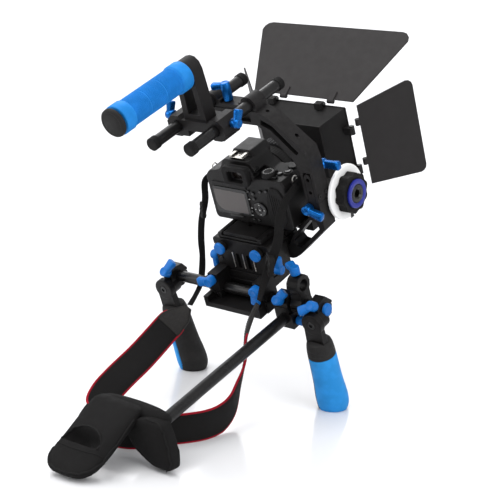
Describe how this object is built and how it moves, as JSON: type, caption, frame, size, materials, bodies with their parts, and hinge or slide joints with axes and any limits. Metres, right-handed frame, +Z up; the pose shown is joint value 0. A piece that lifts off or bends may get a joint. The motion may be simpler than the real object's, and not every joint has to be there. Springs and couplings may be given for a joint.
{
  "type": "shoulder-mount camera rig",
  "caption": "Shoulder camera rig on 15 mm rods: C-arm cage, follow focus, matte box with flags, two hand grips, top handle and shoulder pad.",
  "frame": {"origin": "centre of the bounding box's footprint, on the floor the rig stands on", "axes": "+Z up, +Y forward along the lens in plan, +X to the operator's right; the rig rests nose-up by 20 degrees"},
  "size_m": [0.2914, 0.5756, 0.468],
  "materials": {
    "black_metal": "satin black anodised",
    "black_plastic": "fine textured black",
    "blue_plastic": "moulded blue",
    "blue_anodised": "blue anodised",
    "blue_rubber": "ribbed blue rubber",
    "grey_rubber": "matt dark grey",
    "white_plastic": "wipe-clean white",
    "flag_plastic": "matt charcoal",
    "black_nylon": "ballistic nylon",
    "drive_gear": "acetal",
    "webbing": "woven webbing"
  },
  "bodies": {
    "frame": {"transverse_rod": "black_metal", "rod_cap_right": "blue_plastic", "rail_left": "black_metal", "rail_right": "black_metal", "rail_cap_left": "blue_plastic", "rail_cap_right": "blue_plastic", "riser_block": "black_metal", "cross_clamp": "black_metal", "quick_release_base": "black_metal", "camera_plate": "black_metal", "camera_body": "black_plastic", "eyecup": "grey_rubber", "lens_barrel": "black_plastic", "c_arm_upper": "black_metal", "c_arm_lower": "black_metal", "top_rod_left": "black_metal", "top_rod_right": "black_metal", "strap_left": "webbing", "strap_band": "black_nylon", "strap_right": "webbing"},
    "cross_screw_l": {"cross_screw_left": "blue_plastic"},
    "cross_screw_r": {"cross_screw_right": "blue_plastic"},
    "riser_screw_l": {"riser_screw_left": "blue_plastic"},
    "riser_screw_r": {"riser_screw_right": "blue_plastic"},
    "arm_lever_lo": {"arm_lever_lower": "blue_anodised"},
    "arm_lever_up": {"arm_lever_upper": "blue_anodised"},
    "top_lever": {"top_clamp_lever": "blue_anodised"},
    "dial": {"mode_dial": "black_plastic"},
    "shutter": {"shutter_button": "black_plastic"},
    "focus_gear_ring": {"focus_ring": "black_plastic"},
    "focus_unit": {"focus_gearbox": "black_metal"},
    "focus_wheel": {"focus_knob": "black_metal", "marking_disc": "white_plastic"},
    "gear": {"drive_gear": "drive_gear"},
    "focus_screw": {"focus_clamp_screw": "blue_plastic"},
    "matte_box": {"matte_hood": "black_plastic", "matte_bracket": "black_metal"},
    "top_flag": {"flag_top": "flag_plastic"},
    "right_flag": {"flag_right": "flag_plastic"},
    "left_flag": {"flag_left": "flag_plastic"},
    "top_handle": {"handle_bridge": "black_metal", "top_grip": "blue_rubber", "top_grip_cap": "black_metal"},
    "bridge_lever_l": {"bridge_lever_left": "blue_anodised"},
    "bridge_lever_r": {"bridge_lever_right": "blue_anodised"},
    "clamp_l": {"handle_clamp_left": "black_metal"},
    "clamp_r": {"handle_clamp_right": "black_metal"},
    "clamp_screw_l": {"clamp_screw_left": "blue_plastic"},
    "clamp_screw_r": {"clamp_screw_right": "blue_plastic"},
    "grip_l": {"handle_left": "grey_rubber", "grip_panel_left": "blue_rubber"},
    "grip_r": {"handle_right": "grey_rubber", "grip_panel_right": "blue_rubber"},
    "accessory": {"accessory_clamp": "black_metal"},
    "accessory_knob": {"accessory_screw": "blue_plastic"},
    "shoulder_joint": {"shoulder_clamp": "black_metal"},
    "shoulder_screw_u": {"shoulder_screw_upper": "blue_plastic"},
    "shoulder_screw_d": {"shoulder_screw_lower": "blue_plastic"},
    "shoulder_arm": {"shoulder_rod": "black_metal", "shoulder_pad": "black_nylon"}
  },
  "joints": [
    {"name": "cross_screw_l_turn", "type": "hinge", "parent": "frame", "child": "cross_screw_l", "pos_m": [-0.03829, 0.03895, 0.1539], "axis": [0, -0.9397, -0.342], "continuous": true},
    {"name": "cross_screw_r_turn", "type": "hinge", "parent": "frame", "child": "cross_screw_r", "pos_m": [0.03771, 0.03895, 0.1539], "axis": [0, -0.9397, -0.342], "continuous": true},
    {"name": "riser_screw_l_turn", "type": "hinge", "parent": "frame", "child": "riser_screw_l", "pos_m": [-0.04659, 0.06289, 0.17964], "axis": [-1, 0, 0], "continuous": true},
    {"name": "riser_screw_r_turn", "type": "hinge", "parent": "frame", "child": "riser_screw_r", "pos_m": [0.04601, 0.06391, 0.17682], "axis": [1, 0, 0], "continuous": true},
    {"name": "arm_lever_lower_turn", "type": "hinge", "parent": "frame", "child": "arm_lever_lo", "pos_m": [0.09471, 0.0736, 0.26336], "axis": [0, -0.9397, -0.342], "range_deg": [-140, 115]},
    {"name": "arm_lever_upper_turn", "type": "hinge", "parent": "frame", "child": "arm_lever_up", "pos_m": [0.10171, 0.08099, 0.315], "axis": [0, 0.9397, 0.342], "range_deg": [-170, 25]},
    {"name": "top_clamp_lever_turn", "type": "hinge", "parent": "frame", "child": "top_lever", "pos_m": [-0.00829, 0.03769, 0.39214], "axis": [0, -0.342, 0.9397], "continuous": true},
    {"name": "mode_dial_turn", "type": "hinge", "parent": "frame", "child": "dial", "pos_m": [0.04171, 0.05675, 0.29883], "axis": [0, -0.342, 0.9397], "continuous": true},
    {"name": "shutter_press", "type": "slide", "parent": "frame", "child": "shutter", "axis": [0, 0.342, -0.9397], "range_m": [0, 0.0012], "stiffness_N_per_m": 900},
    {"name": "focus_ring_turn", "type": "hinge", "parent": "frame", "child": "focus_gear_ring", "pos_m": [-0.00029, 0.12992, 0.29663], "axis": [0, 0.9397, 0.342], "range_deg": [-60, 60]},
    {"name": "focus_unit_slide", "type": "slide", "parent": "frame", "child": "focus_unit", "axis": [0, 0.9397, 0.342], "range_m": [-0.001, 0.001]},
    {"name": "focus_knob_turn", "type": "hinge", "parent": "focus_unit", "child": "focus_wheel", "pos_m": [0.11971, 0.1219, 0.27774], "axis": [1, 0, 0], "range_deg": [-150, 150]},
    {"name": "drive_gear_turn", "type": "hinge", "parent": "focus_unit", "child": "gear", "pos_m": [0.04671, 0.13442, 0.27549], "axis": [0, 0.9397, 0.342], "range_deg": [-155, 155]},
    {"name": "focus_clamp_turn", "type": "hinge", "parent": "focus_unit", "child": "focus_screw", "pos_m": [0.05601, 0.13421, 0.24391], "axis": [1, 0, 0], "range_deg": [-110, 170]},
    {"name": "matte_box_slide", "type": "slide", "parent": "frame", "child": "matte_box", "axis": [0, 0.9397, 0.342], "range_m": [-0.015, 0.04]},
    {"name": "top_flag_tilt", "type": "hinge", "parent": "matte_box", "child": "top_flag", "pos_m": [-0.00029, 0.17822, 0.37912], "axis": [1, 0, 0], "range_deg": [-12, 60]},
    {"name": "right_flag_swing", "type": "hinge", "parent": "matte_box", "child": "right_flag", "pos_m": [0.08471, 0.19908, 0.3218], "axis": [0, -0.342, 0.9397], "range_deg": [-55, 26]},
    {"name": "left_flag_swing", "type": "hinge", "parent": "matte_box", "child": "left_flag", "pos_m": [-0.08529, 0.19908, 0.3218], "axis": [0, -0.342, 0.9397], "range_deg": [-40, 40]},
    {"name": "top_handle_slide", "type": "slide", "parent": "frame", "child": "top_handle", "axis": [0, 0.9397, 0.342], "range_m": [-0.03, 0.02]},
    {"name": "bridge_lever_l_turn", "type": "hinge", "parent": "top_handle", "child": "bridge_lever_l", "pos_m": [-0.04669, -0.02064, 0.37698], "axis": [-1, 0, 0], "continuous": true},
    {"name": "bridge_lever_r_turn", "type": "hinge", "parent": "top_handle", "child": "bridge_lever_r", "pos_m": [0.04611, -0.02064, 0.37698], "axis": [1, 0, 0], "continuous": true},
    {"name": "handle_clamp_l_turn", "type": "hinge", "parent": "frame", "child": "clamp_l", "pos_m": [-0.12529, 0.05922, 0.14], "axis": [1, 0, 0], "range_deg": [-25, 45]},
    {"name": "clamp_screw_l_turn", "type": "hinge", "parent": "clamp_l", "child": "clamp_screw_l", "pos_m": [-0.12129, 0.04331, 0.14602], "axis": [0, -0.9364, 0.3508], "range_deg": [-90, 90]},
    {"name": "handle_l_swing", "type": "hinge", "parent": "clamp_l", "child": "grip_l", "pos_m": [-0.12529, 0.04633, 0.12573], "axis": [0, 0.9397, 0.342], "range_deg": [-15, 30]},
    {"name": "handle_clamp_r_turn", "type": "hinge", "parent": "frame", "child": "clamp_r", "pos_m": [0.12471, 0.05922, 0.14], "axis": [1, 0, 0], "range_deg": [-2, 45]},
    {"name": "clamp_screw_r_turn", "type": "hinge", "parent": "clamp_r", "child": "clamp_screw_r", "pos_m": [0.12571, 0.04331, 0.14602], "axis": [0, -0.9364, 0.3508], "range_deg": [-90, 3]},
    {"name": "handle_r_swing", "type": "hinge", "parent": "clamp_r", "child": "grip_r", "pos_m": [0.12471, 0.04633, 0.12573], "axis": [0, 0.9397, 0.342], "range_deg": [-45, 12]},
    {"name": "accessory_clamp_turn", "type": "hinge", "parent": "frame", "child": "accessory", "pos_m": [0.09321, 0.05922, 0.14], "axis": [1, 0, 0], "range_deg": [-90, 1]},
    {"name": "accessory_screw_turn", "type": "hinge", "parent": "accessory", "child": "accessory_knob", "pos_m": [0.09321, 0.0463, 0.18137], "axis": [0, -0.342, 0.9397], "continuous": true},
    {"name": "shoulder_clamp_turn", "type": "hinge", "parent": "frame", "child": "shoulder_joint", "pos_m": [0.07071, 0.05922, 0.14], "axis": [1, 0, 0], "range_deg": [-36, 0]},
    {"name": "shoulder_screw_u_turn", "type": "hinge", "parent": "shoulder_joint", "child": "shoulder_screw_u", "pos_m": [0.07071, 0.04465, 0.14321], "axis": [0, -0.957, 0.2902], "range_deg": [-90, 60]},
    {"name": "shoulder_screw_d_turn", "type": "hinge", "parent": "shoulder_joint", "child": "shoulder_screw_d", "pos_m": [0.08411, 0.06367, 0.11608], "axis": [1, 0, 0], "range_deg": [-90, 50]},
    {"name": "shoulder_rod_slide", "type": "slide", "parent": "shoulder_joint", "child": "shoulder_arm", "axis": [0, 0.9558, 0.294], "range_m": [-0.012, 0.025]}
  ],
  "couplings": [
    {"joint": "drive_gear_turn", "follows": "focus_knob_turn", "ratio": 1},
    {"joint": "focus_ring_turn", "follows": "focus_knob_turn", "ratio": -0.4}
  ]
}
